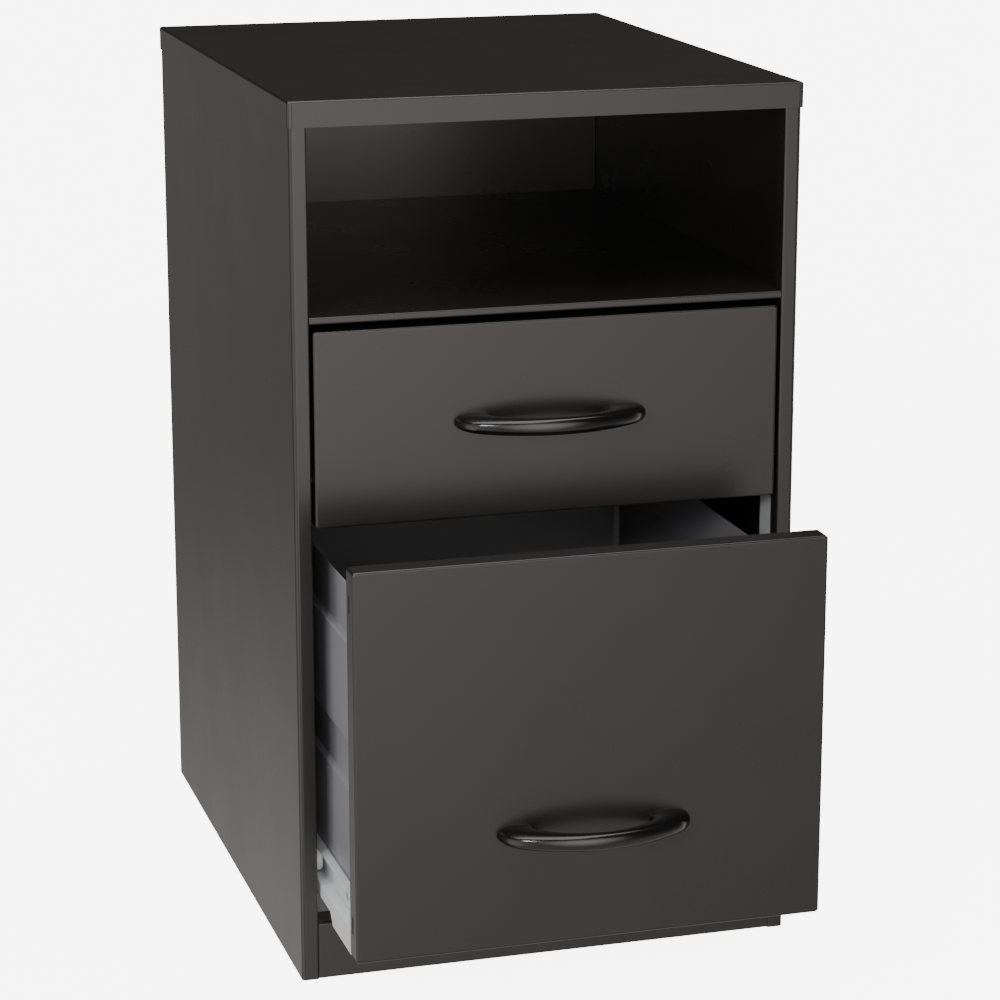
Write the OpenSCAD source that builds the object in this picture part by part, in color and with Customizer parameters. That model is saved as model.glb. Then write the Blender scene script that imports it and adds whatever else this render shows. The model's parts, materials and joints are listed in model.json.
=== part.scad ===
/* [Cabinet] */
// Width of the cabinet's body, side panel to side panel
cabinet_w = 362; // [320:1:460]
// Depth of the cabinet's body, without the cap's overhang
cabinet_d = 457; // [400:1:620]
// Height from the floor to the top of the cap
cabinet_h = 622; // [540:1:780]
// Thickness of the cabinet's and drawers' sheet steel
sheet = 0.8; // [0.6:0.05:1]
// Outer radius of the bend at each front edge of the body
bend_r = 3; // [2:0.25:4]
// Height of the cap's turned-down edges
cap_h = 17.7; // [12:0.1:24]
// Gap between the cap's edges and the side and back panels
cap_gap = 0.2; // [0.1:0.05:0.5]
// Width of the strip of body beside each drawer front
stile_w = 12; // [10:0.5:18]
// Height of the rail under the lower drawer
base_h = 42.7; // [30:0.1:60]

/* [Open shelf] */
// Clear height of the open space above the shelf
cubby_h = 127.8; // [90:0.1:160]
// Height of the shelf's front lip
shelf_lip_h = 5.5; // [4:0.1:10]

/* [Drawer fronts] */
// Height of the upper drawer's front
upper_front_h = 136.9; // [115:0.1:170]
// Depth of the folded edge around each drawer front
front_depth = 16.5; // [13:0.1:22]
// Gap beside each drawer front
front_side_gap = 2.3; // [1.5:0.1:3]
// Gap between the shelf's lip and the upper front
shelf_gap = 4.7; // [2:0.1:8]
// Gap between the two drawer fronts
fronts_gap = 2.4; // [1.5:0.1:4]
// Gap between the lower front and the base rail
base_gap = 10.3; // [3:0.1:14]
// Radius of a drawer front's corners
front_corner_r = 2.5; // [2:0.5:6]

/* [Drawers] */
// How far the lower drawer stands open
lower_open = 103.5; // [0:0.5:250]
// Room left behind each closed drawer
rear_room = 40.5; // [30:0.5:90]
// Length of a drawer's box that stays inside the cabinet when it is pulled right out
held_l = 100; // [90:5:180]
// Room between the drawer's side and the edge of the opening
slide_room = 12; // [11.6:0.1:14]
// Height of the upper drawer's sides above the bottom of its front
upper_side_h = 96; // [80:1:104]
// Space between the top of the file rails and the top of the lower front
rail_drop = 29; // [15:1:60]

/* [Handles] */
// Width of a handle across its two feet
handle_w = 137; // [110:1:160]
// How far a handle stands out from its drawer front
handle_out = 35; // [31:0.5:38]
// Radius of a handle's outer corners, where it turns in to the drawer front
handle_corner_r = 24; // [20:0.5:27]
// Height of a handle's grip
handle_h = 12; // [9:0.5:14]
// Thickness of a handle's grip at its middle
grip_t = 10; // [8:0.5:12]
// Width of the finger gap at the drawer front
finger_w = 82; // [74:1:90]
// Height of the lower handle above the bottom of its drawer front
lower_handle_z = 82; // [50:1:160]

/* [Rollers] */
// Diameter of the rollers at the front of the cabinet's slides
front_roller_d = 19.2; // [18:0.2:21]
// Diameter of the rivets that the rollers turn on
axle_d = 5; // [4:0.25:6]
// Clearance around each roller's axle
axle_gap = 0.05; // [0.03:0.01:0.1]

/* [Hidden] */
$fn = 48;

// Cabinet: +Z up, front towards -Y, origin on the floor at the middle of the body
half_w = cabinet_w / 2;
front_y = -cabinet_d / 2;
back_y = cabinet_d / 2;
inner_x = half_w - sheet;
opening_x = half_w - stile_w;
return_d = 12;
return_y = front_y + return_d;
rear_flange = 12;
rear_bend_r = 1.2;
back_half = inner_x - rear_bend_r + sheet;
rail_leg = 20;
cap_z = cabinet_h - sheet;
panel_flange = 12;

// Heights of the front's parts, from the cap down
opening_top = cabinet_h - cap_h;
shelf_z = opening_top - cubby_h;
upper_top = shelf_z - shelf_lip_h - shelf_gap;
upper_zb = upper_top - upper_front_h;
lower_top = upper_zb - fronts_gap;
lower_zb = base_h + base_gap;
lower_front_h = lower_top - lower_zb;
front_half = opening_x - front_side_gap;

// Drawer box, closed, behind its front
box_x = opening_x - slide_room;
box_y0 = front_y + front_depth;
box_l = cabinet_d - front_depth - rear_room;
box_y1 = box_y0 + box_l;
drawer_travel = box_l - held_l;

// Slides: heights are above the bottom of the drawer's front
slide_t = 1.2;
roller_gap = 0.3;
ledge_top = 17.6;
roller_z = ledge_top + roller_gap + front_roller_d / 2;
flange_under = ledge_top + front_roller_d + 2 * roller_gap;
member_x = box_x + slide_t;
ledge_x = front_half;
lip_drop = 9;
lip_drop_front = 17;
lip_front_l = 60;
track_gap = 1.3;
track_z0 = ledge_top + track_gap;
track_z1 = flange_under - track_gap;
track_web_x = opening_x + 0.4;
track_x0 = member_x + 2.3;
track_y0 = front_y + 14.5;
track_flange_y = front_y + 43.5;
front_roller_y = front_y + 30.5;
rear_roller_d = track_z1 - track_z0 - 2 * slide_t - 2 * roller_gap;
rear_roller_y = box_y1 - 13;
track_y1 = rear_roller_y + rear_roller_d / 2 + 2;
roller_w = 6.5;
roller_x0 = member_x + 1.8;
rear_roller_x0 = track_x0 + 0.3;
rear_roller_w = 5.6;
stop_x0 = rear_roller_x0 + 2;
open_stop_y = rear_roller_y - drawer_travel - rear_roller_d / 2 - 0.5;
axle_r = axle_d / 2;
head_r = axle_r + 1.5;
head_t = 1;

// Posts that carry the slides
post_d = 24;
rear_post_y = track_y1 - post_d - 4;
post_top = shelf_z - 20;

slide_rivet_r = 1.8;
slide_rivets_n = 4;
function slide_rivet_y(i) = box_y0 + 40 + i * (box_l - 120) / (slide_rivets_n - 1);

// Drawer sides
ledge_bottom = 12;
hem = 5;
groove_z0 = 105;
groove_z1 = 137;
groove_in = 4;
rail_step = 5;
rail_step_z = 36;
bottom_lip = 10;

module bend(r, t) {
  intersection() {
    difference() {
      circle(r);
      circle(r - t);
    }
    translate([-r, -r]) square(r);
  }
}

// L-shaped sheet section: legs along +X and +Y from an outer corner at the origin
module angle_section(a, b, t = sheet, r = bend_r) {
  translate([r, 0]) square([a - r, t]);
  translate([0, r]) square([t, b - r]);
  translate([r, r]) bend(r, t);
}

// U-shaped sheet section: web along +X, legs along +Y
module channel_section(w, leg, t = sheet, r = 2) {
  angle_section(w / 2 + 1, leg, t, r);
  translate([w, 0]) mirror([1, 0]) angle_section(w / 2 + 1, leg, t, r);
}

// Extrude a section along Y or along X; the section's own axes stay upright
module along_y(y0, y1) {
  translate([0, y1, 0]) rotate([90, 0, 0]) linear_extrude(y1 - y0) children();
}

module along_x(x0, x1) {
  translate([x0, 0, 0]) rotate([90, 0, 90]) linear_extrude(x1 - x0) children();
}

module block(x0, x1, y0, y1, z0, z1) {
  translate([x0, y0, z0]) cube([x1 - x0, y1 - y0, z1 - z0]);
}

module rod_x(x0, x1, y, z, r) {
  translate([x0, y, z]) rotate([0, 90, 0]) cylinder(h = x1 - x0, r = r);
}

module rod_y(x, y0, y1, z, r) {
  translate([x, y0, z]) rotate([-90, 0, 0]) cylinder(h = y1 - y0, r = r);
}

// Put what is built on the right (+X) side onto side s: 1 right, -1 left
module on_side(s) {
  mirror([s < 0 ? 1 : 0, 0, 0]) children();
}

module open_by(y) {
  translate([0, -y, 0]) children();
}

module rounded_rect(x0, x1, y0, y1, r) {
  translate([x0 + r, y0]) square([x1 - x0 - 2 * r, y1 - y0]);
  translate([x0, y0 + r]) square([x1 - x0, y1 - y0 - 2 * r]);
  for (x = [x0 + r, x1 - r], y = [y0 + r, y1 - r]) translate([x, y]) circle(r);
}

// ---- Cabinet body ----

// Shallow tray turned upside down, with its top and upright edges rounded
module top_cap() {
  x = half_w + cap_gap + sheet;
  y = back_y + cap_gap + sheet;
  r = 2;
  edge_r = 2 * sheet;
  z0 = opening_top - 3 * r;
  color("#2b2a2a") difference() {
    intersection() {
      translate([0, 0, opening_top]) linear_extrude(cap_h) rounded_rect(-x, x, -y, y, r);
      along_y(-y - 1, y + 1) rounded_rect(-x, x, z0, cabinet_h, edge_r);
      along_x(-x - 1, x + 1) rounded_rect(-y, y, z0, cabinet_h, edge_r);
    }
    translate([0, 0, z0]) linear_extrude(cap_z - z0)
      rounded_rect(-x + sheet, x - sheet, -y + sheet, y - sheet, r - sheet);
  }
}

// Front strip, side and rear flange bent from one sheet, with flanges at top and bottom
module side_panel() {
  linear_extrude(cap_z) {
    translate([half_w, front_y]) mirror([1, 0]) angle_section(stile_w / 2 + 1, cabinet_d / 2);
    translate([opening_x, front_y]) angle_section(stile_w / 2 + 1, return_d, sheet, 1.2);
    translate([half_w, back_y]) rotate(180)
      angle_section(rear_flange, cabinet_d / 2 + 1, sheet, rear_bend_r);
  }
  for (z = [0, cap_z - sheet])
    block(inner_x - panel_flange, inner_x, front_y + rail_leg + 1, back_y - rear_flange, z, z + sheet);
}

module left_side_panel() {
  color("#4a4747") difference() {
    on_side(-1) side_panel();
    back_rivet_shanks();
  }
}

module right_side_panel() {
  color("#4a4747") difference() {
    on_side(1) side_panel();
    back_rivet_shanks();
  }
}

rivet_r = 1.6;
rivet_rows = 5;
function rivet_z(i) = 60 + i * (cabinet_h - 120) / (rivet_rows - 1);
rivet_x = inner_x - rear_flange / 2 + 1;

module back_rivet_shanks() {
  for (s = [-1, 1], i = [0:rivet_rows - 1])
    rod_y(s * rivet_x, back_y - 3 * sheet, back_y, rivet_z(i), rivet_r);
}

module back_panel() {
  color("#3a3838") difference() {
    block(-back_half, back_half, back_y - 2 * sheet, back_y - sheet, 0, cap_z);
    back_rivet_shanks();
  }
}

// Blind rivets that hold the back panel to the side panels' rear flanges
module back_rivets() {
  color("#3a3838") {
    back_rivet_shanks();
    for (s = [-1, 1], i = [0:rivet_rows - 1]) {
      rod_y(s * rivet_x, back_y, back_y + sheet, rivet_z(i), rivet_r * 2);
      rod_y(s * rivet_x, back_y - 3 * sheet, back_y - 2 * sheet, rivet_z(i), rivet_r * 1.5);
    }
  }
}

// The shelf is notched to pass between the front strips' return flanges
module shelf() {
  z = shelf_z - sheet;
  y1 = back_y - 2 * sheet;
  color("#232222") {
    along_x(-opening_x, opening_x) translate([front_y, shelf_z]) mirror([0, 1])
      channel_section_open(return_d + 4, shelf_lip_h, 11);
    block(-inner_x, inner_x, return_y + 1, y1, z, shelf_z);
    for (s = [-1, 1]) on_side(s)
      block(inner_x - sheet, inner_x, return_y + 3, y1, z - 12, z);
    block(-inner_x + sheet, inner_x - sheet, y1 - sheet, y1, z - 12, z);
  }
}

// Front lip: top leg, short web and a return leg under it
module channel_section_open(top, web, back) {
  r = 1.6;
  angle_section(top, web / 2 + 0.5, sheet, r);
  translate([0, web]) mirror([0, 1]) angle_section(back, web / 2 + 0.5, sheet, r);
}

// Rail behind the cap's front edge, closing the top of the opening
module header_rail() {
  color("#2b2a2a") along_x(-opening_x, opening_x) translate([front_y, opening_top])
    angle_section(16, cap_z - opening_top, sheet, 1.6);
}

module base_rail() {
  color("#3b3838") {
    along_x(-opening_x, opening_x) {
      translate([front_y, base_h]) mirror([0, 1]) angle_section(rail_leg, base_h / 2 + 1, sheet, 2);
      translate([front_y, 0]) angle_section(rail_leg, base_h / 2 + 1, sheet, 2);
    }
    for (s = [-1, 1]) on_side(s)
      block(opening_x - sheet, opening_x, front_y + sheet, return_y - 1, sheet, base_h - sheet);
  }
}

module rear_base_channel() {
  y = back_y - 2 * sheet;
  color("#3a3838") along_x(-inner_x + panel_flange, inner_x - panel_flange)
    translate([y, 0]) mirror([1, 0]) {
      angle_section(26, 19, sheet, 2);
      translate([0, 36]) mirror([0, 1]) angle_section(26, 19, sheet, 2);
    }
}

// Hat-shaped brace across the middle of the floor opening
module floor_brace() {
  w = 40;
  color("#3a3838") along_x(-inner_x + panel_flange, inner_x - panel_flange)
    translate([-w / 2, 0]) channel_section(w, 14);
}

// ---- Slides on the cabinet ----

// Upright channel that stands the slides off the side panel
module slide_post(y) {
  color("#8d9196") translate([0, 0, sheet]) linear_extrude(post_top - sheet)
    translate([track_web_x + slide_t, y + post_d]) rotate(-90)
      channel_section(post_d, inner_x - track_web_x - slide_t, sheet, 1.6);
}

module left_front_post() {
  on_side(-1) slide_post(track_y0);
}

module left_rear_post() {
  on_side(-1) slide_post(rear_post_y);
}

module right_front_post() {
  on_side(1) slide_post(track_y0);
}

module right_rear_post() {
  on_side(1) slide_post(rear_post_y);
}

// Track with a plain web round the front roller and a C section behind it, in which a tab
// at each end stops the drawer's roller
module cabinet_slide(zb) {
  z0 = zb + track_z0;
  z1 = zb + track_z1;
  color("#c4c8cc") difference() {
    union() {
      block(track_web_x, track_web_x + slide_t, track_y0, track_y1, z0, z1);
      for (z = [z0, z1 - slide_t])
        block(track_x0, track_web_x, track_flange_y, track_y1, z, z + slide_t);
      for (y = [open_stop_y, track_y1])
        block(stop_x0, track_web_x, y - slide_t, y, z0 + slide_t, z1 - slide_t);
    }
    rod_x(track_web_x - 1, track_web_x + slide_t + 1, front_roller_y, zb + roller_z, axle_r);
  }
}

module lower_left_cabinet_slide() {
  on_side(-1) cabinet_slide(lower_zb);
}

module lower_right_cabinet_slide() {
  on_side(1) cabinet_slide(lower_zb);
}

module upper_left_cabinet_slide() {
  on_side(-1) cabinet_slide(upper_zb);
}

module upper_right_cabinet_slide() {
  on_side(1) cabinet_slide(upper_zb);
}

// Nylon wheel with a recess for its rivet's head on the side of the head
module roller(x0, w, d, y, z, head_at_low_x) {
  recess = head_t + 0.3;
  r = d / 2;
  color("#f0f1f0") difference() {
    rod_x(x0, x0 + w, y, z, r);
    rod_x(x0 - 1, x0 + w + 1, y, z, axle_r + axle_gap);
    if (head_at_low_x) rod_x(x0 - 1, x0 + recess, y, z, head_r + 0.3);
    else rod_x(x0 + w - recess, x0 + w + 1, y, z, head_r + 0.3);
  }
}

module front_roller(zb) {
  roller(roller_x0, roller_w, front_roller_d, front_roller_y, zb + roller_z, true);
}

module front_axle(zb) {
  z = zb + roller_z;
  y = front_roller_y;
  rod_x(roller_x0 + 0.1, roller_x0 + 0.1 + head_t, y, z, head_r);
  rod_x(roller_x0 + 0.5, track_web_x + slide_t, y, z, axle_r);
  rod_x(roller_x0 + roller_w + 0.3, track_web_x, y, z, head_r);
}

module front_roller_axles() {
  color("#b8bcc0") for (zb = [lower_zb, upper_zb], s = [-1, 1]) on_side(s) front_axle(zb);
}

module lower_left_front_roller() {
  on_side(-1) front_roller(lower_zb);
}

module lower_right_front_roller() {
  on_side(1) front_roller(lower_zb);
}

module upper_left_front_roller() {
  on_side(-1) front_roller(upper_zb);
}

module upper_right_front_roller() {
  on_side(1) front_roller(upper_zb);
}

// ---- Drawers ----

screw_x = handle_w / 2 - 13;
screw_r = 2;

// Front sheet folded back into a shallow tray, with a slot near the top of each side
module front_pan(zb, h, handle_z) {
  y = front_depth / 2;
  r = front_corner_r;
  slot_y = front_y + front_depth * 0.6;
  color("#413f3e") difference() {
    translate([0, front_y, 0]) rotate([-90, 0, 0]) linear_extrude(front_depth)
      rounded_rect(-front_half, front_half, -zb - h, -zb, r);
    translate([0, front_y + sheet, 0]) rotate([-90, 0, 0]) linear_extrude(front_depth)
      rounded_rect(-front_half + sheet, front_half - sheet, -zb - h + sheet, -zb - sheet, r - sheet);
    for (z = [zb + 24, zb + h - 24])
      block(-front_half - 1, front_half + 1, slot_y - 1.5, slot_y + 1.5, z - 6, z + 6);
    for (s = [-1, 1]) rod_y(s * screw_x, front_y - 1, front_y + 2, handle_z, screw_r);
  }
}

// Inner front, a tray set into the outer one, open towards it
module front_liner(zb, h, handle_z) {
  x = front_half - sheet;
  z0 = zb + sheet;
  z1 = zb + h - sheet;
  r = front_corner_r - sheet;
  back = box_y0 - front_y - sheet;
  color("#343232") difference() {
    translate([0, front_y + sheet, 0]) rotate([-90, 0, 0]) linear_extrude(back)
      rounded_rect(-x, x, -z1, -z0, r);
    translate([0, front_y, 0]) rotate([-90, 0, 0]) linear_extrude(back)
      rounded_rect(-x + sheet, x - sheet, -z1 + sheet, -z0 - sheet, r - sheet);
    for (s = [-1, 1]) rod_y(s * screw_x, box_y0 - 2, box_y0 + 1, handle_z, 5);
  }
}

// Side with a hem on top, a flange under the bottom and one to the front and the back
module drawer_side(zb, h) {
  z0 = zb + ledge_bottom;
  color("#5c5a5b") {
    difference() {
      block(box_x - sheet, box_x, box_y0, box_y1, z0, zb + h);
      slide_rivet_shanks(zb);
    }
    block(box_x - bottom_lip, box_x - sheet, box_y0, box_y1, z0, z0 + sheet);
    block(box_x - hem, box_x - sheet, box_y0 + 12, box_y1 - 12, zb + h - sheet, zb + h);
    for (y = [box_y0, box_y1 - sheet])
      block(box_x - bottom_lip, box_x - sheet, y, y + sheet, z0 + sheet, zb + h - 2);
  }
}

// File drawer's side: pressed groove, then a step in to the rail that folders hang on
module file_side(zb, h) {
  z0 = ledge_bottom;
  step_z = h - rail_step_z;
  x1 = box_x - rail_step;
  color("#5c5a5b") {
    difference() {
      block(box_x - sheet, box_x, box_y0, box_y1, zb + z0, zb + groove_z0);
      slide_rivet_shanks(zb);
    }
    along_y(box_y0, box_y1) translate([0, zb]) {
      translate([box_x - groove_in, groove_z0]) square([groove_in, sheet]);
      translate([box_x - groove_in, groove_z0]) square([sheet, groove_z1 - groove_z0]);
      translate([box_x - groove_in, groove_z1 - sheet]) square([groove_in, sheet]);
      translate([box_x - sheet, groove_z1 - sheet]) square([sheet, step_z - groove_z1 + sheet]);
      translate([x1 - sheet, step_z - sheet]) square([rail_step + sheet, sheet]);
      translate([x1 - sheet, step_z - sheet]) square([sheet, h - step_z + sheet]);
      translate([box_x - bottom_lip, z0]) square([bottom_lip, sheet]);
    }
    for (y = [box_y0, box_y1 - sheet])
      block(box_x - bottom_lip, x1 - sheet / 2, y, y + sheet, zb + z0 + sheet, zb + h - 2);
  }
}

module drawer_bottom(zb) {
  z = zb + ledge_bottom + sheet;
  x = box_x - sheet;
  color("#4c4a4a") {
    block(-x, x, box_y0 + sheet, box_y1 - sheet, z, z + sheet);
    for (y = [box_y0 + sheet, box_y1 - 2 * sheet])
      block(-x + bottom_lip, x - bottom_lip, y, y + sheet, z + sheet, z + 12);
  }
}

module drawer_back(zb, h) {
  z = zb + ledge_bottom;
  x = box_x - bottom_lip;
  color("#4c4a4a") {
    block(-x, x, box_y1 - sheet, box_y1, z, zb + h);
    block(-x, x, box_y1 - 8, box_y1 - sheet, zb + h - sheet, zb + h);
  }
}

// Half of a flattened round: a wide arc over the middle that runs into a small one at each end.
// The small arcs stand a little proud, so that the two cross instead of only touching.
module bow_outline(half, out, end_r, grow) {
  proud = 0.3;
  touch_r = end_r - proud;
  end_x = half - end_r;
  wide_r = (pow(end_x, 2) + pow(out, 2) - pow(touch_r, 2)) / (2 * (out - touch_r));
  wide_y = wide_r - out;
  intersection() {
    translate([0, wide_y]) circle(wide_r + grow, $fn = 180);
    polygon([[0, wide_y], [-3 * end_x, -2 * wide_y], [3 * end_x, -2 * wide_y]]);
  }
  for (s = [-1, 1]) translate([s * end_x, 0]) circle(end_r + grow, $fn = 96);
}

// Bow pull: the area between two such outlines, with its long edges rounded by steps
module handle_plan(grow) {
  intersection() {
    difference() {
      bow_outline(handle_w / 2, handle_out, handle_corner_r, grow);
      bow_outline(finger_w / 2, handle_out - grip_t, handle_corner_r - grip_t, -grow);
    }
    translate([-handle_w, -2 * handle_out]) square([2 * handle_w, 2 * handle_out]);
  }
}

module handle(z) {
  steps = 3;
  r = 4;
  color("#161616") difference() {
    translate([0, front_y, z]) for (i = [0:steps]) {
      a = i * 90 / steps;
      half = handle_h / 2 - r + r * sin(a);
      translate([0, 0, -half]) linear_extrude(2 * half) handle_plan(-r + r * cos(a));
    }
    for (s = [-1, 1]) rod_y(s * screw_x, front_y - 8, front_y + 1, z, screw_r);
  }
}

module handle_screws(z) {
  color("#a9adb1") for (s = [-1, 1]) {
    rod_y(s * screw_x, front_y - 8, front_y + sheet, z, screw_r);
    rod_y(s * screw_x, front_y + sheet, front_y + sheet + 2.4, z, 4);
  }
}

// C section open to the outside; its ledge ends in a lip turned down, deeper at the front
module drawer_slide(zb) {
  y1 = box_y1 - 2;
  ledge_z = zb + ledge_top;
  top = zb + flange_under + slide_t;
  lip_x = ledge_x - slide_t;
  color("#c4c8cc") difference() {
    union() {
      block(box_x, member_x, box_y0, y1, ledge_z - slide_t, top);
      block(member_x, ledge_x, box_y0, y1, ledge_z - slide_t, ledge_z);
      block(member_x, ledge_x - 2.6, box_y0, y1, top - slide_t, top);
      block(lip_x, ledge_x, box_y0, y1, ledge_z - lip_drop, ledge_z - slide_t);
      block(lip_x, ledge_x, box_y0, box_y0 + lip_front_l, ledge_z - lip_drop_front, ledge_z - slide_t);
    }
    rod_x(box_x - 1, member_x + 1, rear_roller_y, zb + roller_z, axle_r);
    slide_rivet_shanks(zb);
  }
}

module slide_rivet_shanks(zb) {
  for (i = [0:slide_rivets_n - 1])
    rod_x(box_x - sheet, member_x, slide_rivet_y(i), zb + roller_z, slide_rivet_r);
}

// Low button rivets through the slide and the drawer's side
module slide_rivets(zb) {
  color("#b8bcc0") for (s = [-1, 1]) on_side(s) {
    slide_rivet_shanks(zb);
    for (i = [0:slide_rivets_n - 1]) {
      rod_x(member_x, member_x + 1, slide_rivet_y(i), zb + roller_z, slide_rivet_r * 2);
      rod_x(box_x - 2 * sheet, box_x - sheet, slide_rivet_y(i), zb + roller_z, slide_rivet_r * 1.7);
    }
  }
}

module rear_axle(zb) {
  z = zb + roller_z;
  y = rear_roller_y;
  x1 = rear_roller_x0 + rear_roller_w;
  rod_x(box_x, x1 - 0.1, y, z, axle_r);
  rod_x(member_x, rear_roller_x0 - 0.3, y, z, head_r);
  rod_x(x1 - head_t - 0.1, x1 - 0.1, y, z, head_r);
}

module rear_roller_axles(zb) {
  color("#b8bcc0") for (s = [-1, 1]) on_side(s) rear_axle(zb);
}

module rear_roller(zb) {
  roller(rear_roller_x0, rear_roller_w, rear_roller_d, rear_roller_y, zb + roller_z, false);
}

// ---- Lower drawer, standing open ----

file_side_h = lower_front_h - rail_drop;
lower_handle = lower_zb + lower_handle_z;

module lower_front_pan() {
  open_by(lower_open) front_pan(lower_zb, lower_front_h, lower_handle);
}

module lower_front_liner() {
  open_by(lower_open) front_liner(lower_zb, lower_front_h, lower_handle);
}

module lower_left_side() {
  open_by(lower_open) on_side(-1) file_side(lower_zb, file_side_h);
}

module lower_right_side() {
  open_by(lower_open) on_side(1) file_side(lower_zb, file_side_h);
}

module lower_bottom() {
  open_by(lower_open) drawer_bottom(lower_zb);
}

module lower_back() {
  open_by(lower_open) drawer_back(lower_zb, file_side_h - rail_step_z - 1);
}

module lower_handle() {
  open_by(lower_open) handle(lower_handle);
}

module lower_handle_screws() {
  open_by(lower_open) handle_screws(lower_handle);
}

module lower_left_drawer_slide() {
  open_by(lower_open) on_side(-1) drawer_slide(lower_zb);
}

module lower_right_drawer_slide() {
  open_by(lower_open) on_side(1) drawer_slide(lower_zb);
}

module lower_slide_rivets() {
  open_by(lower_open) slide_rivets(lower_zb);
}

module lower_rear_roller_axles() {
  open_by(lower_open) rear_roller_axles(lower_zb);
}

module lower_left_rear_roller() {
  open_by(lower_open) on_side(-1) rear_roller(lower_zb);
}

module lower_right_rear_roller() {
  open_by(lower_open) on_side(1) rear_roller(lower_zb);
}

// ---- Upper drawer, closed ----

upper_handle = upper_zb + upper_front_h / 2;

module upper_front_pan() {
  front_pan(upper_zb, upper_front_h, upper_handle);
}

module upper_front_liner() {
  front_liner(upper_zb, upper_front_h, upper_handle);
}

module upper_left_side() {
  on_side(-1) drawer_side(upper_zb, upper_side_h);
}

module upper_right_side() {
  on_side(1) drawer_side(upper_zb, upper_side_h);
}

module upper_bottom() {
  drawer_bottom(upper_zb);
}

module upper_back() {
  drawer_back(upper_zb, upper_side_h);
}

module upper_handle() {
  handle(upper_handle);
}

module upper_handle_screws() {
  handle_screws(upper_handle);
}

module upper_left_drawer_slide() {
  on_side(-1) drawer_slide(upper_zb);
}

module upper_right_drawer_slide() {
  on_side(1) drawer_slide(upper_zb);
}

module upper_slide_rivets() {
  slide_rivets(upper_zb);
}

module upper_rear_roller_axles() {
  rear_roller_axles(upper_zb);
}

module upper_left_rear_roller() {
  on_side(-1) rear_roller(upper_zb);
}

module upper_right_rear_roller() {
  on_side(1) rear_roller(upper_zb);
}

top_cap();
left_side_panel();
right_side_panel();
back_panel();
shelf();
header_rail();
base_rail();
rear_base_channel();
floor_brace();
left_front_post();
left_rear_post();
right_front_post();
right_rear_post();
lower_left_cabinet_slide();
lower_right_cabinet_slide();
upper_left_cabinet_slide();
upper_right_cabinet_slide();
front_roller_axles();
back_rivets();
lower_left_front_roller();
lower_right_front_roller();
upper_left_front_roller();
upper_right_front_roller();
lower_front_pan();
lower_front_liner();
lower_left_side();
lower_right_side();
lower_bottom();
lower_back();
lower_handle();
lower_handle_screws();
lower_left_drawer_slide();
lower_right_drawer_slide();
lower_slide_rivets();
lower_rear_roller_axles();
lower_left_rear_roller();
lower_right_rear_roller();
upper_front_pan();
upper_front_liner();
upper_left_side();
upper_right_side();
upper_bottom();
upper_back();
upper_handle();
upper_handle_screws();
upper_left_drawer_slide();
upper_right_drawer_slide();
upper_slide_rivets();
upper_rear_roller_axles();
upper_left_rear_roller();
upper_right_rear_roller();
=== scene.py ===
import json
import math

import bmesh
import bpy
import numpy as np
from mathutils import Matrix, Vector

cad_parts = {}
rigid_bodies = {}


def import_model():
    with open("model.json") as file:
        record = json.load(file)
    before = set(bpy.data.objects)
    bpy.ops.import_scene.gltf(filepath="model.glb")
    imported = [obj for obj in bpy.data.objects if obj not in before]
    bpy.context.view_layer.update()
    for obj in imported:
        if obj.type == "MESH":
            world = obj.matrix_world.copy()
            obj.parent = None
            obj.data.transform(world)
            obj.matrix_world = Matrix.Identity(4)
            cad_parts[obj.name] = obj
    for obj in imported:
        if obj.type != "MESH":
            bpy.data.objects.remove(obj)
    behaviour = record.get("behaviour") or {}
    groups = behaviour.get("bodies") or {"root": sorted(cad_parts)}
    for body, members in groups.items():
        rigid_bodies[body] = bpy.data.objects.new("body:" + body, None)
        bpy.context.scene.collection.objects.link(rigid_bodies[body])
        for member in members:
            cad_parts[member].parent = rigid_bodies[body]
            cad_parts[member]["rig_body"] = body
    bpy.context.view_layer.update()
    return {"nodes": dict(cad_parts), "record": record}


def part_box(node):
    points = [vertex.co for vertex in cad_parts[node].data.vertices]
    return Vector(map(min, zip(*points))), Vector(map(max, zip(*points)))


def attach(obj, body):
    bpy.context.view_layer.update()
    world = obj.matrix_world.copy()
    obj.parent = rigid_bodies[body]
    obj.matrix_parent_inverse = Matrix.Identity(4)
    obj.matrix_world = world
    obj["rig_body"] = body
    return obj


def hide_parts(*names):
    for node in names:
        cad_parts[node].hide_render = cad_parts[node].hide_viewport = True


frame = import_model()
MM = 0.001
SHEET = 0.8 * MM  # steel sheet of the body and the drawers
STRIP = 1.2 * MM  # strip steel of the slides
SIDE_BEND = 1.4 * MM  # bend radius of a drawer's side, on its outer face
WELD = 0.001 * MM  # points closer than this are one
# How far the cut edges are rounded: of pressed, folded and sheared sheet, and of bare and
# painted rivet heads
PRESSED_EASE, FOLDED_EASE, SHEARED_EASE = 0.15 * MM, 0.12 * MM, 0.2 * MM
BARE_HEAD_EASE, PAINTED_HEAD_EASE = 0.35 * MM, 0.3 * MM
ROWS = ("upper", "lower")


def low(node):
    """Lowest corner of a node's box."""
    return np.array(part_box(node)[0])


def high(node):
    """Highest corner of a node's box."""
    return np.array(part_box(node)[1])


def side_name(side):
    """Name of side -1 or 1 of the cabinet, as seen from the front."""
    return ("left", "right")[side > 0]


def span_in_x(node):
    """A node's least and greatest distance from the cabinet's middle plane."""
    return sorted(abs(np.array([low(node)[0], high(node)[0]])))


# ---- Materials ----


def linear(colour):
    """An sRGB hex colour as linear RGBA."""
    c = np.array([int(colour[i:i + 2], 16) for i in (1, 3, 5)]) / 255
    c = np.where(c <= 0.04045, c / 12.92, ((c + 0.055) / 1.055) ** 2.4)
    return (*c.tolist(), 1.0)


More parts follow.
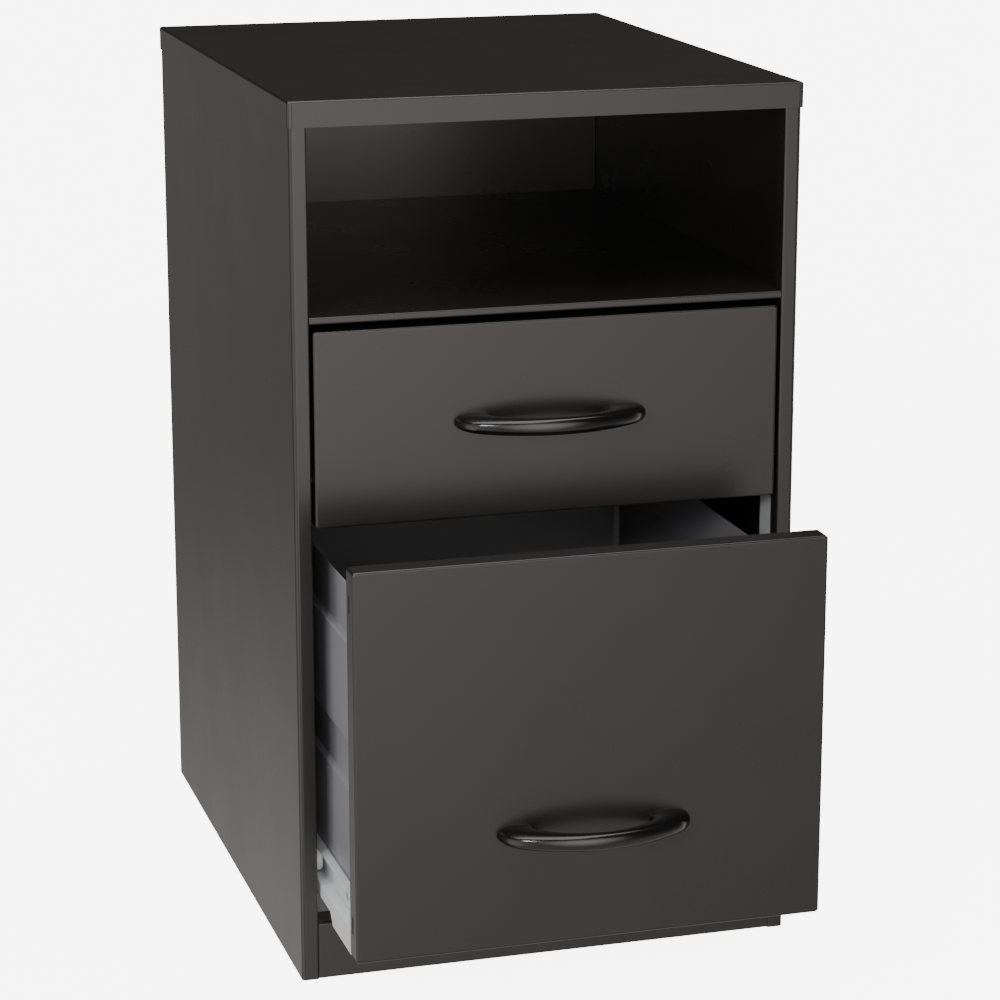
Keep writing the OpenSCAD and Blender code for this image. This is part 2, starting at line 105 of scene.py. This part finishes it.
def add(tree, kind, inputs=(), links=(), **settings):
    """Adds a node: settings are its properties, inputs its values, links what feeds it."""
    node = tree.nodes.new(kind)
    for key, value in settings.items():
        setattr(node, key, value)
    for key, value in dict(inputs).items():
        node.inputs[key].default_value = value
    for key, socket in dict(links).items():
        tree.links.new(socket, node.inputs[key])
    return node


def new_material(name, **constants):
    """A material with a Principled shader; constants go straight on the shader's sockets."""
    material = bpy.data.materials.new(name)
    material.use_nodes = True
    tree = material.node_tree
    tree.nodes.clear()
    shader = add(tree, "ShaderNodeBsdfPrincipled", constants)
    add(tree, "ShaderNodeOutputMaterial", links={"Surface": shader.outputs[0]})
    place = add(tree, "ShaderNodeTexCoord").outputs["Object"]
    return material, tree, shader, place


def drive(tree, shader, fac, colours, gloss, height, bump_mm, gloss_fac=None):
    """Feeds a shader: fac mixes two colours, gloss_fac sets roughness, height makes the bump."""
    mixed = add(tree, "ShaderNodeMix", {"A": linear(colours[0]), "B": linear(colours[1])},
                {"Factor": fac}, data_type="RGBA")
    tree.links.new(mixed.outputs["Result"], shader.inputs["Base Color"])
    spread = add(tree, "ShaderNodeMapRange", {"To Min": gloss[0], "To Max": gloss[1]},
                 {"Value": gloss_fac or fac})
    tree.links.new(spread.outputs["Result"], shader.inputs["Roughness"])
    bump = add(tree, "ShaderNodeBump", {"Strength": 1.0, "Distance": bump_mm * MM},
               {"Height": height})
    tree.links.new(bump.outputs["Normal"], shader.inputs["Normal"])


def noise(tree, place, size_mm, detail=2.0):
    """Noise whose lumps are about size_mm across."""
    return add(tree, "ShaderNodeTexNoise", {"Scale": 1 / (size_mm * MM), "Detail": detail},
               {"Vector": place}).outputs["Fac"]


def powder_coat(name, colours, gloss):
    """Polyester powder coat sprayed and baked on sheet steel.

    It is satin, with an orange-peel of dimples 1.6 mm apart, and its gloss drifts over 70 mm
    where the powder lay thicker.
    """
    material, tree, shader, place = new_material(name, IOR=1.5)
    drift = noise(tree, place, 70, 3.0)
    peel = noise(tree, place, 1.6)
    drive(tree, shader, drift, colours, gloss, peel, 0.012)
    return material


def zinc_plate(name, colours, gloss, metallic):
    """Cold-rolled strip with bright zinc plating.

    Rolling lines 0.6 mm apart run along its length, and the plating's gloss changes in
    patches 5 mm across. A dull plating scatters more light, so it is less metallic.
    """
    material, tree, shader, place = new_material(name, Metallic=metallic)
    across, along = 1 / (0.6 * MM), 1 / (50 * MM)
    stretch = add(tree, "ShaderNodeMapping", {"Scale": (across, along, across)},
                  {"Vector": place})
    lines = add(tree, "ShaderNodeTexNoise", {"Scale": 1.0, "Detail": 3.0},
                {"Vector": stretch.outputs["Vector"]}).outputs["Fac"]
    drive(tree, shader, lines, colours, gloss, lines, 0.01, noise(tree, place, 5))
    return material


def moulded(name, colours, gloss, grain_mm, ior):
    """Injection-moulded plastic: a faint mould grain, and tone that drifts over 20 mm."""
    material, tree, shader, place = new_material(name, IOR=ior)
    grain = noise(tree, place, grain_mm)
    drive(tree, shader, noise(tree, place, 20, 1.0), colours, gloss, grain, 0.006, grain)
    return material


CHARCOAL = powder_coat("charcoal_powder_coat", ("#171615", "#1b1918"), (0.25, 0.31))
DRAWER_COAT = powder_coat("grey_drawer_powder_coat", ("#7a7a7f", "#848489"), (0.36, 0.44))
ZINC = zinc_plate("zinc_plated_strip_steel", ("#d9dddf", "#eaedee"), (0.5, 0.64), metallic=0.5)
FASTENER = zinc_plate("zinc_plated_rivet_steel", ("#a6aaae", "#c3c7ca"), (0.30, 0.42),
                      metallic=1.0)
HANDLE_BLACK = moulded("gloss_black_moulded_nylon", ("#0a0a0b", "#101011"), (0.16, 0.22),
                       grain_mm=1.4, ior=1.5)
NYLON = moulded("white_moulded_nylon", ("#dfe1df", "#eceeec"), (0.38, 0.46),
                grain_mm=0.9, ior=1.53)

# ---- Mesh building ----


def placed(name, work, material):
    """Turns a bmesh into an object with one material, and frees it."""
    mesh = bpy.data.meshes.new(name)
    work.to_mesh(mesh)
    work.free()
    mesh.materials.append(material)
    piece = bpy.data.objects.new(name, mesh)
    bpy.context.scene.collection.objects.link(piece)
    return piece


def new_piece(name, points, faces, body, material, replaces=(), inside=None):
    """Makes an object from arrays.

    A closed shape has its normals recalculated; an open skin is turned so that its faces look
    away from the point inside.
    """
    rough = bpy.data.meshes.new("rough_" + name)
    rough.from_pydata(np.asarray(points).tolist(), [], [list(map(int, f)) for f in faces])
    work = bmesh.new()
    work.from_mesh(rough)
    bpy.data.meshes.remove(rough)
    bmesh.ops.remove_doubles(work, verts=work.verts, dist=WELD)
    work.normal_update()
    if inside is None:
        bmesh.ops.recalc_face_normals(work, faces=work.faces)
    else:
        centre = np.array([f.calc_center_median()[:] for f in work.faces]) - inside
        normal = np.array([f.normal[:] for f in work.faces])
        area = np.array([f.calc_area() for f in work.faces])
        if (np.einsum("ij,ij->i", centre, normal) * area).sum() < 0:
            bmesh.ops.reverse_faces(work, faces=work.faces)
    shade_by_angle(work)
    piece = placed(name, work, material)
    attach(piece, body)
    if replaces:
        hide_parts(*replaces)
    return piece


def shade_by_angle(work, degrees=32):
    """Smooth shading everywhere, except across edges that turn by more than the angle."""
    for face in work.faces:
        face.smooth = True
    for edge in work.edges:
        edge.smooth = edge.calc_face_angle(0.0) < math.radians(degrees)


def thicken(piece, thickness):
    """Gives an open skin its sheet thickness, on the side away from its normals."""
    solid = piece.modifiers.new("sheet_thickness", "SOLIDIFY")
    solid.thickness = thickness
    solid.offset = -1.0
    solid.use_even_offset = True
    return piece


def ease_edges(piece, width):
    """Rounds the sharp edges a little, as shearing and paint leave them.

    The large faces then rule the shading, so that they stay flat up to their edges.
    """
    bevel = piece.modifiers.new("eased_edges", "BEVEL")
    bevel.width = width
    bevel.segments = 2
    bevel.limit_method = "ANGLE"
    bevel.angle_limit = math.radians(40)
    bevel.harden_normals = True
    flatten = piece.modifiers.new("flat_faces_rule", "WEIGHTED_NORMAL")
    flatten.keep_sharp = True
    return piece


def softened(node, material, width=SHEARED_EASE, prefix="sheet_"):
    """A merged copy of a CAD node with eased edges, which stands for the node."""
    source = frame["nodes"][node]
    work = bmesh.new()
    work.from_mesh(source.data)
    bmesh.ops.remove_doubles(work, verts=work.verts, dist=WELD)
    bmesh.ops.dissolve_limit(work, angle_limit=math.radians(0.5),
                             verts=work.verts, edges=work.edges)
    shade_by_angle(work)
    piece = ease_edges(placed(prefix + node, work, material), width)
    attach(piece, source["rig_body"])
    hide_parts(node)
    return piece


def grid_faces(rows, columns, wrap_rows=False, wrap_columns=False):
    """Quads of a grid of points, row by row; a wrap joins the last line to the first."""
    i = np.arange(rows if wrap_rows else rows - 1)
    j = np.arange(columns if wrap_columns else columns - 1)
    a, b = np.meshgrid(i, j, indexing="ij")
    a2, b2 = (a + 1) % rows, (b + 1) % columns
    corners = [a * columns + b, a2 * columns + b, a2 * columns + b2, a * columns + b2]
    return np.stack(corners, -1).reshape(-1, 4)


def joined(*parts):
    """Several (points, faces) pairs as one."""
    points, faces = [], []
    start = 0
    for p, f in parts:
        points.append(p)
        faces.extend([int(i) + start for i in face] for face in f)
        start += len(p)
    return np.concatenate(points), faces


def mirrored(part, side):
    """Puts what is built on the right onto side -1, the left, or leaves it on side 1."""
    points, faces = part
    return points * np.array([side, 1, 1]), faces


def arc(centre, radius, start, end, count=7):
    """Points centre + radius (cos a, sin a) for evenly spaced angles a, in degrees."""
    a = np.radians(np.linspace(start, end, count))
    return np.stack([centre[0] + radius * np.cos(a), centre[1] + radius * np.sin(a)], -1)


def bent_line(corners, radius, count=6):
    """A line with rounded corners, and its left-hand normals.

    Each inner corner becomes the arc of the given radius that touches both legs.
    """
    corners = np.asarray(corners, float)
    legs = np.diff(corners, axis=0)
    legs /= np.linalg.norm(legs, axis=1)[:, None]
    lefts = np.stack([-legs[:, 1], legs[:, 0]], -1)
    line, normal = [corners[:1]], [lefts[:1]]
    for k in range(1, len(corners) - 1):
        before, after = legs[k - 1], legs[k]
        turn = math.atan2(before[0] * after[1] - before[1] * after[0], before @ after)
        reach = radius * math.tan(abs(turn) / 2)
        sign = math.copysign(1, turn)
        outward = -sign * lefts[k - 1]
        centre = corners[k] - before * reach - radius * outward
        a = math.atan2(outward[1], outward[0]) + np.linspace(0, turn, count)
        out = np.stack([np.cos(a), np.sin(a)], -1)
        line.append(centre + radius * out)
        normal.append(-sign * out)
    line.append(corners[-1:])
    normal.append(lefts[-1:])
    return np.concatenate(line), np.concatenate(normal)


def strip_along_y(corners, radius, thickness, stations, drops=None):
    """A bent strip: an (x, z) section carried along Y, closed at both ends.

    The section is a bent line and its copy moved left by the thickness. drops, one for each
    station, lowers the section's first point there.
    """
    line, normal = bent_line(corners, radius)
    loop = np.concatenate([line, (line + normal * thickness)[::-1]])
    n, m = len(line), len(stations)
    section = np.broadcast_to(loop, (m, 2 * n, 2)).copy()
    if drops is not None:
        section[:, [0, -1], 1] -= np.asarray(drops)[:, None]
    y = np.broadcast_to(np.asarray(stations)[:, None], (m, 2 * n))
    points = np.stack([section[..., 0], y, section[..., 1]], -1).reshape(-1, 3)
    i = np.arange(n - 1)
    cap = np.stack([i, i + 1, 2 * n - 2 - i, 2 * n - 1 - i], -1)
    faces = [*grid_faces(m, 2 * n, wrap_columns=True), *cap, *(cap + (m - 1) * 2 * n)]
    return points, faces


def plate(lo, hi):
    """A flat plate between two corners, as part of a bent sheet."""
    x, y, z = np.meshgrid(*zip(lo, hi), indexing="ij")
    points = np.stack([x, y, z], -1).reshape(-1, 3)
    faces = [(0, 1, 3, 2), (4, 6, 7, 5), (0, 4, 5, 1), (2, 3, 7, 6), (0, 2, 6, 4), (1, 5, 7, 3)]
    return points, faces


def tray(half_a, half_b, depth, radius, bend, cuts=(), cut_rows=()):
    """A pressed tray's outer skin, as rows of points (a, b, height) above its flat face.

    A section is straight down the flange, a quarter circle round the bend and flat for a
    little way in; each row is the tray's rounded outline moved in by the section's inset.
    cuts are pairs of b between which both a sides are cut through, over the flange between
    the two heights in cut_rows.
    """
    quarter = np.radians(np.linspace(0, 90, 6))[1:]
    flat = bend + np.array([0.4, 3]) * MM
    heights = np.array([depth, *cut_rows, bend, *(bend * (1 - np.sin(quarter))), 0, 0])
    insets = np.array([*([0] * (len(cut_rows) + 2)), *(bend * (1 - np.cos(quarter))), *flat])
    edges = np.sort(np.ravel(cuts)) if len(cuts) else np.array([])
    rows = []
    for inset, height in zip(insets, heights):
        r = max(radius - inset * 0.9, 0.3 * MM)
        a, b = half_a - inset, half_b - inset
        corner = [arc((a - r, r - b), r, -90, 0), arc((a - r, b - r), r, 0, 90),
                  arc((r - a, b - r), r, 90, 180), arc((r - a, r - b), r, 180, 270)]
        right = np.column_stack([np.full(len(edges), a), edges])
        left = np.column_stack([np.full(len(edges), -a), edges[::-1]])
        outline = np.concatenate([corner[0], right, corner[1], corner[2], left, corner[3]])
        rows.append(np.column_stack([outline, np.full(len(outline), height)]))
    rows = np.array(rows)
    count = rows.shape[1]
    faces = grid_faces(len(rows), count, wrap_columns=True)
    if len(edges):
        c = len(corner[0])
        first = np.arange(1, len(edges), 2)
        keep = np.ones((len(rows) - 1, count), bool)
        keep[1, [*(c - 1 + first), *(3 * c + len(edges) - 1 + first)]] = False
        faces = faces[keep.reshape(-1)]
    face = (len(rows) - 1) * count + np.arange(count)
    return rows.reshape(-1, 3), [*faces, face[::-1]]


def lathe_x(profile, centre, segments=64):
    """A closed (x, radius) profile turned about an axis along X through the centre."""
    a = np.linspace(0, 2 * np.pi, segments, endpoint=False)[:, None]
    profile = np.asarray(profile, float)
    x = np.broadcast_to(centre[0] + profile[:, 0], (segments, len(profile)))
    y = centre[1] + profile[:, 1] * np.cos(a)
    z = centre[2] + profile[:, 1] * np.sin(a)
    points = np.stack([x, y, z], -1).reshape(-1, 3)
    return points, grid_faces(segments, len(profile), wrap_rows=True, wrap_columns=True)


# ---- Cabinet ----


def top_cap():
    """Tray turned over, with a seam near each corner where its side edges wrap round."""
    lo, hi = low("top_cap"), high("top_cap")
    half = (hi - lo) / 2
    depth = hi[2] - lo[2]
    bend = 1.6 * MM
    corner_radius, short = 2 * MM, 0.1 * MM
    seam = half[0] - np.array([3.4, 3.0]) * MM
    points, faces = tray(half[1], half[0], depth, corner_radius, bend, cuts=[-seam, seam],
                         cut_rows=[depth - short, bend + short])
    world = np.column_stack([points[:, 1], points[:, 0], hi[2] - points[:, 2]])
    world[:, 1] += (lo[1] + hi[1]) / 2
    piece = new_piece("pressed_top_cap", world, faces, "cabinet", CHARCOAL, ["top_cap"],
                      inside=np.array([0, 0, lo[2]]))
    return ease_edges(thicken(piece, SHEET), PRESSED_EASE)


def roller(node, recess_inward):
    """Moulded wheel: a tread with rounded shoulders, a hub, and a ring sunk into one face.

    Its profile runs from the bore over the recess for the rivet's head, the tread and the
    sunk ring, and back to the bore.
    """
    lo, hi = low(node), high(node)
    x0, x1 = span_in_x(node)
    w, r = x1 - x0, (hi[2] - lo[2]) / 2
    shoulder, bore = 0.9 * MM, 2.55 * MM
    head, head_deep = 4.3 * MM, 1.3 * MM
    ring_deep = 0.8 * MM
    if r > 8 * MM:
        ring_out, ring_in = r - 2.6 * MM, head + 0.35 * MM
    else:
        ring_out, ring_in = r - 1.5 * MM, head + 0.3 * MM
    profile = np.concatenate([
        [(head_deep, bore), (head_deep, head - 0.2 * MM), (head_deep - 0.2 * MM, head),
         (0.15 * MM, head + 0.1 * MM)],
        arc((shoulder, r - shoulder), shoulder, 180, 90),
        [(w / 2, r)],
        arc((w - shoulder, r - shoulder), shoulder, 90, 0),
        [(w, ring_out), (w - ring_deep, ring_out - 0.4 * MM),
         (w - ring_deep, ring_in + 0.3 * MM), (w, ring_in - 0.1 * MM),
         (w, bore + 0.2 * MM), (w - 0.2 * MM, bore)],
    ])
    if not recess_inward:
        profile[:, 0] = w - profile[:, 0]
    centre = (x0, (lo[1] + hi[1]) / 2, (lo[2] + hi[2]) / 2)
    points, faces = mirrored(lathe_x(profile, centre), math.copysign(1, lo[0]))
    return new_piece("wheel_" + node, points, faces, node, NYLON, [node])


# ---- Drawers ----


def front_pan(row):
    """Outer front: a tray with a slot near the top and the bottom of each side."""
    node = row + "_front_pan"
    lo, hi = low(node), high(node)
    half_z = (hi[2] - lo[2]) / 2
    depth = hi[1] - lo[1]
    corner_radius, bend = 2.5 * MM, 1.5 * MM
    slot_z = half_z - 24 * MM + np.array([-6, 6]) * MM
    slot_y = 0.6 * depth + np.array([1.5, -1.5]) * MM
    points, faces = tray(hi[0], half_z, depth, corner_radius, bend, cuts=[-slot_z, slot_z],
                         cut_rows=slot_y)
    world = np.column_stack([points[:, 0], lo[1] + points[:, 2], points[:, 1] + lo[2] + half_z])
    piece = new_piece(row + "_pressed_front", world, faces, row + "_drawer", CHARCOAL, [node],
                      inside=np.array([0, hi[1], lo[2] + half_z]))
    return ease_edges(thicken(piece, SHEET), PRESSED_EASE)


def bow_outline(half, out, end_r, steps=(12, 40)):
    """Half of a flattened round as (x, outwards) points, from one foot to the other.

    A wide arc over the middle runs into an arc of radius end_r at each end, which meets the
    front squarely. The wide arc's radius is the one for which both touch in line.
    """
    end_x = half - end_r
    wide_r = (end_x ** 2 + out ** 2 - end_r ** 2) / (2 * (out - end_r))
    turn = 90 - math.degrees(math.atan2(end_x, wide_r - out))
    right = arc((end_x, 0), end_r, 0, turn, steps[0] + 1)[:-1]
    middle = arc((0, out - wide_r), wide_r, turn, 180 - turn, steps[1] + 1)
    return np.concatenate([right, middle, right[::-1] * (-1, 1)])


def handle(row):
    """Bow pull: at each station a rounded section spans from the inner to the outer outline.

    Section: centre + half width * c(t) outwards + half height * s(t) up, where c and s are a
    cosine and a sine raised to the power squareness with their signs kept.
    """
    node = row + "_handle"
    lo, hi = low(node), high(node)
    out, corner_radius = hi[1] - lo[1], 24 * MM
    gap_half, grip = 41 * MM, 10 * MM
    outer = bow_outline(hi[0], out, corner_radius)
    inner = bow_outline(gap_half, out - grip, corner_radius - grip)
    around, squareness = 32, 0.8
    t = np.linspace(0, 2 * np.pi, around, endpoint=False)
    c = np.sign(np.cos(t)) * abs(np.cos(t)) ** squareness
    s = np.sign(np.sin(t)) * abs(np.sin(t)) ** squareness
    middle, reach = (outer + inner) / 2, (outer - inner) / 2
    plan = middle[:, None] + reach[:, None] * c[None, :, None]
    z = np.broadcast_to((lo[2] + hi[2]) / 2 + (hi[2] - lo[2]) / 2 * s, plan.shape[:2])
    points = np.stack([plan[..., 0], hi[1] - plan[..., 1], z], -1).reshape(-1, 3)
    foot = np.arange(around)
    faces = [*grid_faces(len(outer), around, wrap_columns=True),
             foot, foot[::-1] + (len(outer) - 1) * around]
    return new_piece(row + "_bow_pull", points, faces, row + "_drawer", HANDLE_BLACK, [node])


def drawer_side(prefix, node, side, corners, end_x, flange):
    """A side folded through corners, with a flange turned in from end_x at front and back."""
    lo, hi = low(node), high(node)
    wall = strip_along_y(corners, SIDE_BEND, SHEET, [lo[1], hi[1]])
    z0, z1 = lo[2] + SHEET, hi[2] - 2 * MM
    ends = [plate((end_x - flange, y, z0), (end_x - SHEET, y + SHEET, z1))
            for y in (lo[1], hi[1] - SHEET)]
    points, faces = mirrored(joined(wall, *ends), side)
    drawer = node.split("_")[0] + "_drawer"
    piece = new_piece(prefix + node, points, faces, drawer, DRAWER_COAT, [node])
    return ease_edges(piece, FOLDED_EASE)


def shallow_side(side):
    """Upper drawer's side: lip under the bottom, flat wall and a hem turned in on top."""
    node = f"upper_{side_name(side)}_side"
    z0, z1 = low(node)[2], high(node)[2]
    x = span_in_x(node)[1]
    lip, hem = 10 * MM, 5 * MM
    corners = [(x - lip, z0), (x, z0), (x, z1), (x - hem, z1)]
    return drawer_side("folded_", node, side, corners, x, lip)


def file_side(side):
    """File drawer's side: a groove pressed in along it, and a step in to the hanging rail."""
    node = f"lower_{side_name(side)}_side"
    z0, z1 = low(node)[2], high(node)[2]
    x = span_in_x(node)[1]
    lip, rail_in = 10 * MM, 5 * MM
    groove = z0 + np.array([93, 125]) * MM
    sunk, slope = x - 3.2 * MM, 1.5 * MM
    step_z, rail_x = z1 - 36 * MM, x - rail_in
    corners = [(x - lip, z0), (x, z0), (x, groove[0] - slope), (sunk, groove[0] + slope),
               (sunk, groove[1] - slope), (x, groove[1] + slope), (x, step_z),
               (rail_x, step_z), (rail_x, z1)]
    return drawer_side("pressed_", node, side, corners, rail_x, rail_in)


def slide_channel(row, side):
    """Drawer's slide: a C open to the outside, its ledge ending in a lip turned down.

    The lip is deepest at the front and slopes up to its running depth.
    """
    node = f"{row}_{side_name(side)}_drawer_slide"
    lo, hi = low(node), high(node)
    x0, x1 = span_in_x(node)
    lip, deeper, bend = 9 * MM, 8 * MM, 0.6 * MM
    ledge_z = lo[2] + lip + deeper
    web, top_z = x0 + STRIP, hi[2] - STRIP
    corners = [(x1, ledge_z - lip), (x1, ledge_z), (web, ledge_z), (web, top_z),
               (x1 - 2.6 * MM, top_z)]
    stations = [lo[1], lo[1] + 52 * MM, lo[1] + 60 * MM, hi[1]]
    part = strip_along_y(corners, bend, STRIP, stations, drops=[deeper, deeper, 0, 0])
    points, faces = mirrored(part, side)
    piece = new_piece("rolled_" + node, points, faces, row + "_drawer", ZINC, [node])
    return ease_edges(piece, SHEARED_EASE)


top_cap()
for row in ROWS:
    front_pan(row)
    handle(row)
    for side in (-1, 1):
        slide_channel(row, side)
        roller(f"{row}_{side_name(side)}_front_roller", recess_inward=True)
        roller(f"{row}_{side_name(side)}_rear_roller", recess_inward=False)
for side in (-1, 1):
    shallow_side(side)
    file_side(side)

SHEET_FINISH = {
    CHARCOAL: ["left_side_panel", "right_side_panel", "back_panel", "shelf", "header_rail",
               "base_rail", "rear_base_channel", "floor_brace"],
    DRAWER_COAT: [f"{row}_{part}" for row in ROWS for part in ("front_liner", "bottom", "back")],
    ZINC: [f"{side}_{end}_post" for side in ("left", "right") for end in ("front", "rear")]
    + [f"{row}_{side}_cabinet_slide" for row in ROWS for side in ("left", "right")],
}
FASTENERS = [f"{row}_{part}" for row in ROWS
             for part in ("slide_rivets", "rear_roller_axles", "handle_screws")]
for material, nodes in SHEET_FINISH.items():
    for node in nodes:
        softened(node, material)
for node in ("front_roller_axles", *FASTENERS):
    softened(node, FASTENER, BARE_HEAD_EASE, "plated_")
softened("back_rivets", CHARCOAL, PAINTED_HEAD_EASE, "painted_")

# These pieces aren't named after the nodes that they stand for; this loop only reads each one's
# node.
for item in frame["record"]["subparts"]:
    node = item["node"]

# ---- Studio ----


def floor(glow, fade):
    """A round of pale paper under the cabinet that glows like a light table.

    It fades out between the two radii in fade, and stays out of the paint's reflections. It
    doesn't
    glow under the cabinet itself: the darker paper there is painted shade, where the cabinet
    would shadow it.
    """
    corners = 96
    a = np.linspace(0, 2 * np.pi, corners, endpoint=False)
    rim = np.stack([np.cos(a), np.sin(a), np.zeros(corners)], -1) * fade[1]
    mesh = bpy.data.meshes.new("paper_floor")
    mesh.from_pydata(rim.tolist(), [], [list(range(corners))])
    material, tree, shader, place = new_material("white_studio_paper", Roughness=0.9)
    tone = add(tree, "ShaderNodeMix", {"A": linear("#ececec"), "B": linear("#f2f2f2")},
               {"Factor": noise(tree, place, 2)}, data_type="RGBA").outputs["Result"]
    # Painted shade: inside the cabinet's footprint the paper doesn't glow, so the floor seen
    # inside the cabinet stays dark as if shadowed
    painted_shade_footprint = high("right_side_panel") - 2 * MM
    share = add(tree, "ShaderNodeVectorMath", {1: tuple(1 / painted_shade_footprint)}, {0: place},
                operation="MULTIPLY").outputs[0]
    share = add(tree, "ShaderNodeVectorMath", links={0: share}, operation="ABSOLUTE").outputs[0]
    share = add(tree, "ShaderNodeSeparateXYZ", links={"Vector": share})
    most = add(tree, "ShaderNodeMath", links={0: share.outputs["X"], 1: share.outputs["Y"]},
               operation="MAXIMUM").outputs[0]
    outside = add(tree, "ShaderNodeMath", {1: 1}, {0: most}, operation="GREATER_THAN").outputs[0]
    glow_with_painted_shade = add(tree, "ShaderNodeMath", {1: glow}, {0: outside},
                   operation="MULTIPLY").outputs[0]
    radius = add(tree, "ShaderNodeVectorMath", links={0: place}, operation="LENGTH")
    alpha = add(tree, "ShaderNodeMapRange",
                {"From Min": fade[0], "From Max": fade[1], "To Min": 1, "To Max": 0},
                {"Value": radius.outputs["Value"]}, interpolation_type="SMOOTHSTEP")
    feeds = {"Base Color": tone, "Emission Color": tone, "Emission Strength": glow_with_painted_shade,
             "Alpha": alpha.outputs["Result"]}
    for socket, source in feeds.items():
        tree.links.new(source, shader.inputs[socket])
    mesh.materials.append(material)
    piece = bpy.data.objects.new("paper_floor", mesh)
    bpy.context.scene.collection.objects.link(piece)
    piece.visible_glossy = piece.visible_diffuse = False


def studio_world(seen, floor_light, glows):
    """Plain white behind the object, and around it a room that is dark high up.

    floor_light gives (height of the direction, brightness) below the horizon, as a lit floor
    does, with its lowest and highest entries first. glows gives (direction, edge and middle
    as cosines from it, brightness) of round soft patches.
    """
    world = bpy.data.worlds.new("studio_surround")
    bpy.context.scene.world = world
    world.use_nodes = True
    tree = world.node_tree
    tree.nodes.clear()
    way = add(tree, "ShaderNodeTexCoord").outputs["Generated"]
    height = add(tree, "ShaderNodeSeparateXYZ", links={"Vector": way}).outputs["Z"]
    place = add(tree, "ShaderNodeMapRange", {"From Min": -1, "From Max": 1}, {"Value": height})
    ramp = add(tree, "ShaderNodeValToRGB", links={"Fac": place.outputs["Result"]})
    stops = ramp.color_ramp.elements
    for k, (z, grey) in enumerate(floor_light):
        position = (z + 1) / 2
        stop = stops[k] if k < 2 else stops.new(position)
        stop.position = position
        stop.color = (grey, grey, grey, 1)
    total = ramp.outputs["Color"]
    for direction, edge, middle, brightness in glows:
        near = add(tree, "ShaderNodeVectorMath", {1: direction}, {0: way},
                   operation="DOT_PRODUCT")
        patch = add(tree, "ShaderNodeMapRange",
                    {"From Min": edge, "From Max": middle, "To Min": 0, "To Max": brightness},
                    {"Value": near.outputs["Value"]}, interpolation_type="SMOOTHSTEP")
        total = add(tree, "ShaderNodeMath", links={0: total, 1: patch.outputs["Result"]},
                    operation="ADD").outputs[0]
    around = add(tree, "ShaderNodeBackground", {"Color": linear("#fffaf6")}, {"Strength": total})
    behind = add(tree, "ShaderNodeBackground", {"Strength": seen})
    path = add(tree, "ShaderNodeLightPath")
    mixed = add(tree, "ShaderNodeMixShader", links={
        0: path.outputs["Is Camera Ray"], 1: around.outputs[0], 2: behind.outputs[0]})
    add(tree, "ShaderNodeOutputWorld", links={"Surface": mixed.outputs[0]})


def softbox(name, place, aim, size, power):
    """A rectangular area light aimed at a point."""
    lamp = bpy.data.lights.new(name, "AREA")
    lamp.shape = "RECTANGLE"
    lamp.size, lamp.size_y = size
    lamp.energy = power
    piece = bpy.data.objects.new(name, lamp)
    bpy.context.scene.collection.objects.link(piece)
    way = np.array(aim) - np.array(place)
    pitch = math.atan2(math.hypot(way[0], way[1]), -way[2])
    piece.rotation_euler = (pitch, 0, math.atan2(way[1], way[0]) - math.pi / 2)
    piece.location = place


def camera():
    """Long lens a little above the cabinet's top, looking down past its left front corner."""
    lens = bpy.data.cameras.new("camera")
    lens.lens = 115.1
    lens.sensor_width = 36
    eye = bpy.data.objects.new("camera", lens)
    bpy.context.scene.collection.objects.link(eye)
    eye.location = (-0.637, -2.279, 0.906)
    eye.rotation_euler = (math.radians(90 - 14.82), 0, math.radians(-16.34))
    bpy.context.scene.camera = eye


floor(glow=7.6, fade=(1.0, 2.4))
IN_FRONT, FAR_LEFT, FAR_RIGHT = (0, -1, 0.09), (-0.92, -0.38, -0.12), (0.92, 0.38, -0.12)
studio_world(seen=9.6,
             floor_light=[(-0.55, 0.85), (0.02, 0.035), (-0.1, 0.28), (-0.25, 0.22),
                          (-0.4, 0.74)],
             glows=[(IN_FRONT, 0.82, 1.02, 3.9), (FAR_LEFT, 0.7, 1, 1.6),
                    (FAR_RIGHT, 0.7, 1, 1.6)])
softbox("overhead_softbox", place=(-0.3, -0.4, 2.6), aim=(0, 0, 0), size=(2.6, 2.6), power=95)
softbox("front_left_softbox", place=(-1.9, -2.6, 1.5), aim=(0, 0, 0.3), size=(0.5, 0.6), power=40)
softbox("rear_right_softbox", place=(2.8, 1.5, 2.3), aim=(0, 0, 0.3), size=(1.4, 1.4), power=50)
camera()
